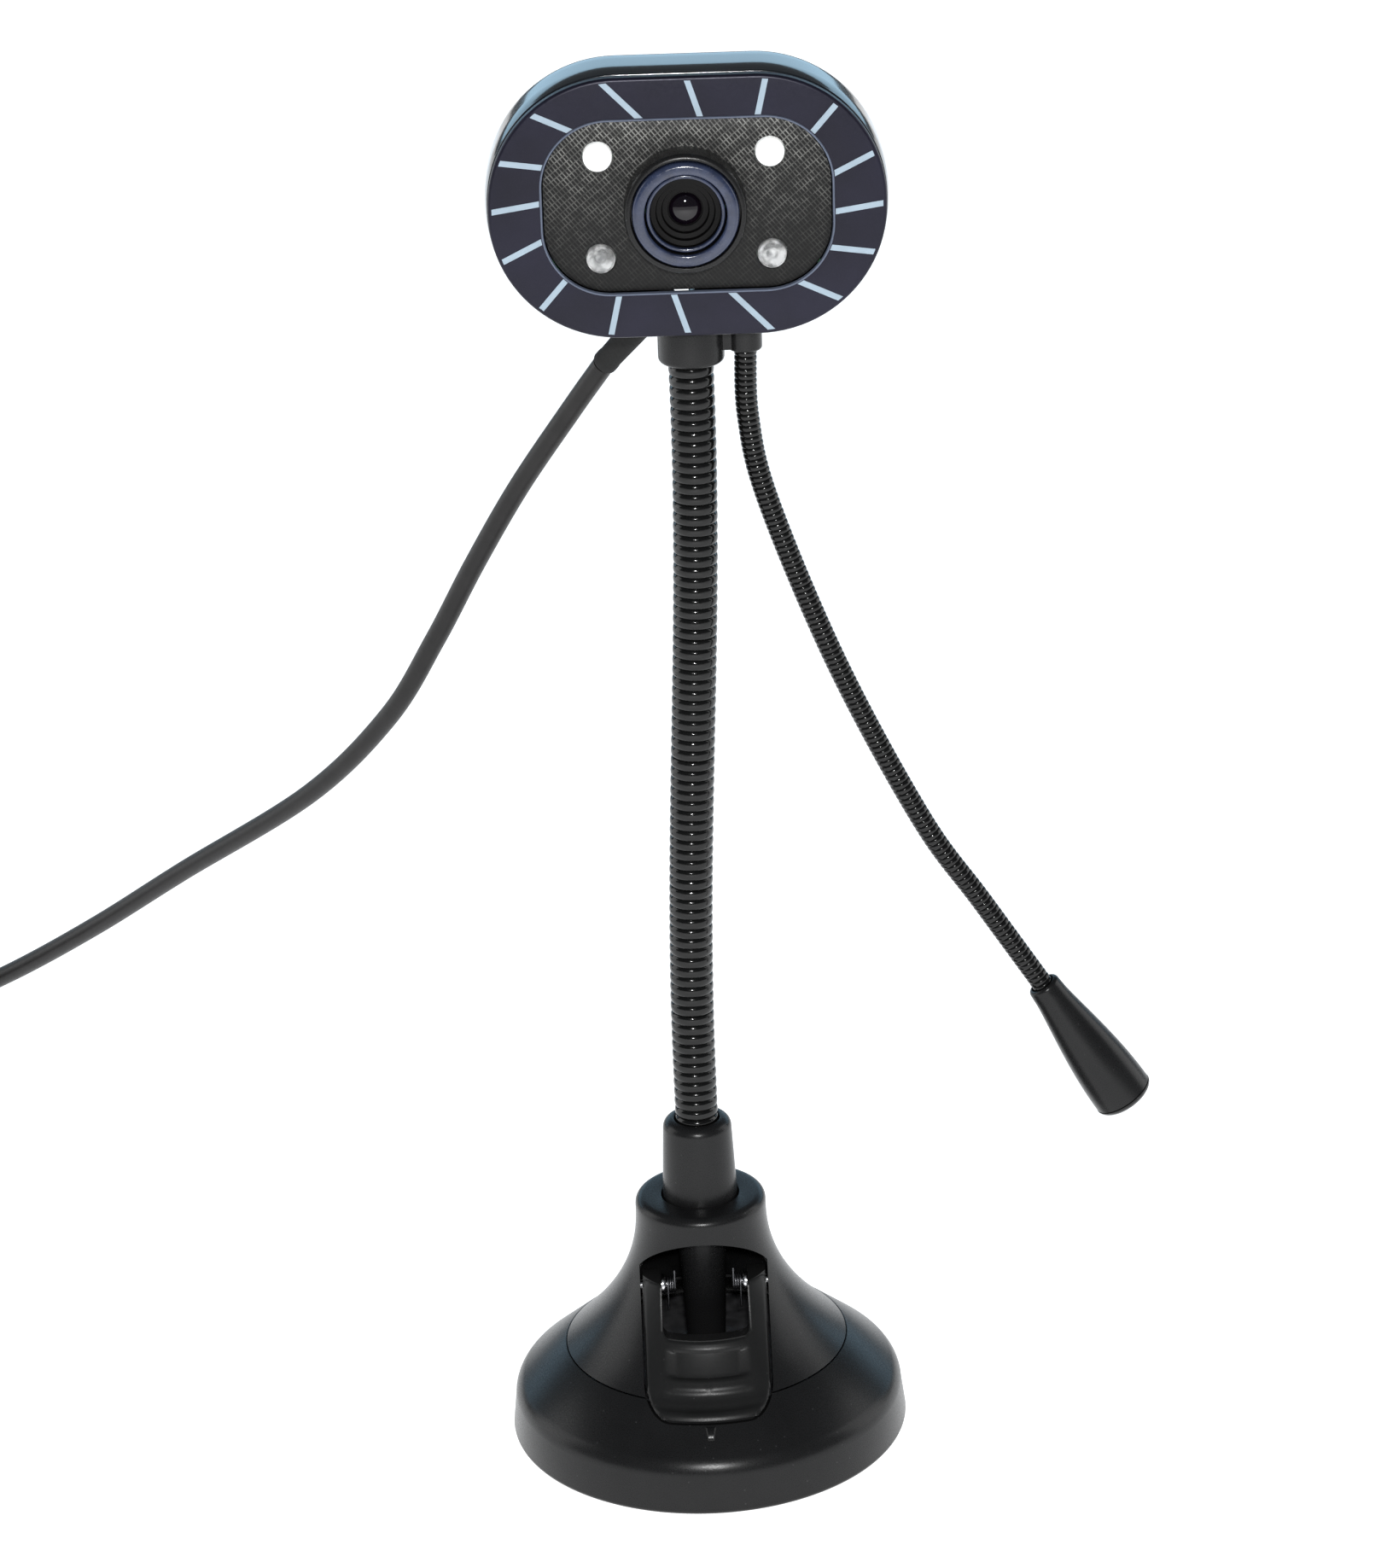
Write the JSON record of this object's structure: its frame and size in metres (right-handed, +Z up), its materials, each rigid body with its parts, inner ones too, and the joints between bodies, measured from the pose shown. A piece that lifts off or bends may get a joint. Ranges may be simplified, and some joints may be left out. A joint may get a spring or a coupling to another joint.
{
  "type": "gooseneck webcam",
  "caption": "Gooseneck webcam with a microphone boom and ring of lights, on a round bell-shaped weighted base with a spring clip, and a coiled cord.",
  "frame": {"origin": "centre of the underside of the base pad, on the surface the base stands on", "axes": "+Z up along the neck, -Y the way the lens looks, +X the side of the microphone boom"},
  "size_m": [0.3429, 0.2235, 0.2635],
  "materials": {
    "black_plastic": "fine matt",
    "satin_plastic": "satin, dark blue-grey with pale lines",
    "gloss_shell": "gloss",
    "gloss_ring": "gloss",
    "neck_black": "black-coated ribbed flexible tube",
    "rubber": "matt",
    "cord_black": "satin sheath",
    "steel": "bright",
    "iron": "plain",
    "board_green": "lacquered circuit board",
    "sensor_grey": "plain",
    "clear_led": "clear moulded",
    "lens_glass": "coated"
  },
  "bodies": {
    "base": {"base_ring": "black_plastic", "bell_housing": "black_plastic", "base_plate": "black_plastic", "base_weight": "iron", "base_pad": "rubber", "base_screw_1": "steel", "base_screw_2": "steel", "base_screw_3": "steel", "neck_screw": "steel", "neck_column": "black_plastic", "neck_socket": "black_plastic", "neck_link_1": "neck_black", "clip_pin_left": "steel", "clip_pin_right": "steel", "clip_spring_left": "steel", "clip_spring_right": "steel", "usb_cord": "cord_black", "cord_coil": "cord_black", "cord_tie": "rubber", "usb_cord_tail": "cord_black", "usb_plug_body": "black_plastic", "usb_plug_shell": "steel"},
    "clip": {"clip_flap": "black_plastic", "clip_pad": "rubber"},
    "neck_1": {"neck_link_2": "neck_black"},
    "neck_2": {"neck_link_3": "neck_black"},
    "neck_3": {"neck_link_4": "neck_black"},
    "neck_4": {"neck_link_5": "neck_black"},
    "neck_5": {"neck_link_6": "neck_black"},
    "head": {"neck_link_7": "neck_black", "head_collar": "black_plastic", "rear_shell": "gloss_shell", "front_bezel": "satin_plastic", "face_plate": "black_plastic", "lens_holder": "black_plastic", "circuit_board": "board_green", "image_sensor": "sensor_grey", "led_1": "clear_led", "led_2": "clear_led", "led_3": "clear_led", "led_4": "clear_led", "case_screw_1": "steel", "case_screw_2": "steel", "mic_link_1": "neck_black", "cord_sleeve": "rubber"},
    "focus_ring": {"focus_ring": "gloss_ring"},
    "lens_barrel": {"lens_barrel": "black_plastic", "lens_glass": "lens_glass"},
    "mic_1": {"mic_link_2": "neck_black"},
    "mic_2": {"mic_link_3": "neck_black"},
    "mic_3": {"mic_link_4": "neck_black"},
    "microphone": {"mic_link_5": "neck_black", "mic_housing": "black_plastic", "mic_cap": "black_plastic", "mic_capsule": "steel"}
  },
  "joints": [
    {"name": "neck_pitch_1", "type": "hinge", "parent": "base", "child": "neck_1", "pos_m": [0, 0, 0.074], "axis": [1, 0, 0], "range_deg": [-18, 18], "deforming": ["usb_cord"]},
    {"name": "neck_lean_1", "type": "hinge", "parent": "neck_1", "child": "neck_2", "pos_m": [0.00041, 0, 0.0984], "axis": [0, 1, 0], "range_deg": [-18, 9]},
    {"name": "neck_pitch_2", "type": "hinge", "parent": "neck_2", "child": "neck_3", "pos_m": [0.0015, 0, 0.1228], "axis": [1, 0, 0], "range_deg": [-18, 18]},
    {"name": "neck_lean_2", "type": "hinge", "parent": "neck_3", "child": "neck_4", "pos_m": [0.0029, 0, 0.1472], "axis": [0, 1, 0], "range_deg": [-18, 9]},
    {"name": "neck_pitch_3", "type": "hinge", "parent": "neck_4", "child": "neck_5", "pos_m": [0.00415, 0, 0.1716], "axis": [1, 0, 0], "range_deg": [-18, 18]},
    {"name": "neck_lean_3", "type": "hinge", "parent": "neck_5", "child": "head", "pos_m": [0.00484, 0, 0.196], "axis": [0, 1, 0], "range_deg": [-18, 9]},
    {"name": "mic_swing_1", "type": "hinge", "parent": "head", "child": "mic_1", "pos_m": [0.0145, 0, 0.199], "axis": [0, -1, 0], "range_deg": [-6, 12]},
    {"name": "mic_turn_1", "type": "hinge", "parent": "mic_1", "child": "mic_2", "pos_m": [0.0176, 0, 0.183], "axis": [1, 0, 0], "range_deg": [-12, 12]},
    {"name": "mic_swing_2", "type": "hinge", "parent": "mic_2", "child": "mic_3", "pos_m": [0.0289, 0, 0.1516], "axis": [0, -1, 0], "range_deg": [-6, 12]},
    {"name": "mic_turn_2", "type": "hinge", "parent": "mic_3", "child": "microphone", "pos_m": [0.0432, 0, 0.1211], "axis": [1, 0, 0], "range_deg": [-12, 12]},
    {"name": "clip_hinge", "type": "hinge", "parent": "base", "child": "clip", "pos_m": [0, -0.006, 0.0318], "axis": [-1, 0, 0], "range_deg": [0, 50], "stiffness_Nm_per_rad": 0.05, "springref_deg": -20.05},
    {"name": "focus_turn", "type": "hinge", "parent": "head", "child": "focus_ring", "pos_m": [0.00498, 0, 0.2404], "axis": [0, -1, 0], "range_deg": [-120, 120]},
    {"name": "focus_travel", "type": "slide", "parent": "head", "child": "lens_barrel", "axis": [0, -1, 0], "range_m": [-0.0008, 0.0008]}
  ],
  "couplings": [
    {"joint": "neck_pitch_2", "follows": "neck_pitch_1", "ratio": 1},
    {"joint": "neck_pitch_3", "follows": "neck_pitch_1", "ratio": 1},
    {"joint": "neck_lean_2", "follows": "neck_lean_1", "ratio": 1},
    {"joint": "neck_lean_3", "follows": "neck_lean_1", "ratio": 1},
    {"joint": "mic_swing_2", "follows": "mic_swing_1", "ratio": 1},
    {"joint": "mic_turn_2", "follows": "mic_turn_1", "ratio": 1},
    {"joint": "focus_turn", "follows": "focus_travel", "rad_per_m": 2617.9}
  ]
}
